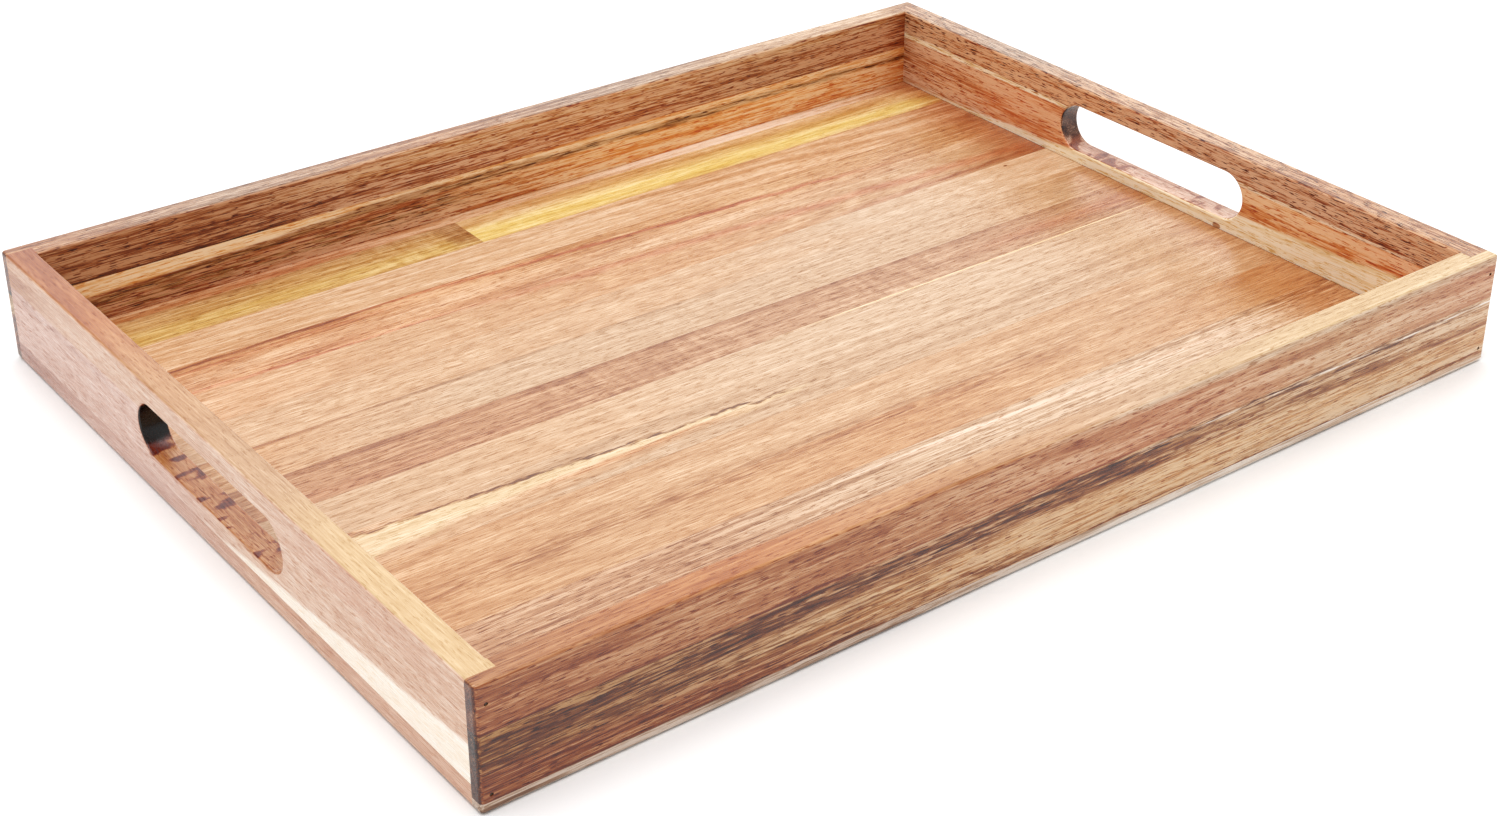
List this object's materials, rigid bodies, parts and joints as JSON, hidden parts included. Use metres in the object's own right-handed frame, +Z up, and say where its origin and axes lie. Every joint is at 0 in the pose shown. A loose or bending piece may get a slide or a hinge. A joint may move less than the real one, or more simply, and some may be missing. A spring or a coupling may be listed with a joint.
{
  "type": "serving tray",
  "caption": "Rectangular wooden serving tray with upright rails, an edge-glued floor panel and an obround hand slot through each short rail.",
  "frame": {"origin": "middle of the footprint, on the surface that the tray stands on", "axes": "+X along the long side, +Y from the front rail to the back rail, +Z up"},
  "size_m": [0.432, 0.33, 0.0435],
  "materials": {
    "front_rail_bottom_strip": "satin",
    "front_rail_middle_strip": "satin",
    "front_rail_top_strip": "satin",
    "back_rail_bottom_strip": "satin",
    "back_rail_middle_strip": "satin",
    "back_rail_top_strip": "satin",
    "left_rail_bottom_strip": "satin",
    "left_rail_middle_strip": "satin",
    "left_rail_top_strip": "satin",
    "right_rail_bottom_strip": "satin",
    "right_rail_middle_strip": "satin",
    "right_rail_top_strip": "satin",
    "panel_stave_01": "satin",
    "panel_stave_02_left": "satin",
    "panel_stave_02_right": "satin",
    "panel_stave_03": "satin",
    "panel_stave_04": "satin",
    "panel_stave_05": "satin",
    "panel_stave_06": "satin",
    "panel_stave_07": "satin",
    "panel_stave_08": "satin",
    "panel_stave_09": "satin",
    "panel_stave_10": "satin",
    "panel_stave_11": "satin",
    "panel_stave_12": "satin",
    "panel_stave_13": "satin",
    "panel_stave_14": "satin",
    "panel_stave_15": "satin",
    "brad_steel": "dulled"
  },
  "bodies": {
    "root": {"front_rail_bottom_strip": "front_rail_bottom_strip", "front_rail_middle_strip": "front_rail_middle_strip", "front_rail_top_strip": "front_rail_top_strip", "back_rail_bottom_strip": "back_rail_bottom_strip", "back_rail_middle_strip": "back_rail_middle_strip", "back_rail_top_strip": "back_rail_top_strip", "left_rail_bottom_strip": "left_rail_bottom_strip", "left_rail_middle_strip": "left_rail_middle_strip", "left_rail_top_strip": "left_rail_top_strip", "right_rail_bottom_strip": "right_rail_bottom_strip", "right_rail_middle_strip": "right_rail_middle_strip", "right_rail_top_strip": "right_rail_top_strip", "panel_stave_01": "panel_stave_01", "panel_stave_02_left": "panel_stave_02_left", "panel_stave_02_right": "panel_stave_02_right", "panel_stave_03": "panel_stave_03", "panel_stave_04": "panel_stave_04", "panel_stave_05": "panel_stave_05", "panel_stave_06": "panel_stave_06", "panel_stave_07": "panel_stave_07", "panel_stave_08": "panel_stave_08", "panel_stave_09": "panel_stave_09", "panel_stave_10": "panel_stave_10", "panel_stave_11": "panel_stave_11", "panel_stave_12": "panel_stave_12", "panel_stave_13": "panel_stave_13", "panel_stave_14": "panel_stave_14", "panel_stave_15": "panel_stave_15", "corner_brads": "brad_steel"}
  },
  "joints": []
}
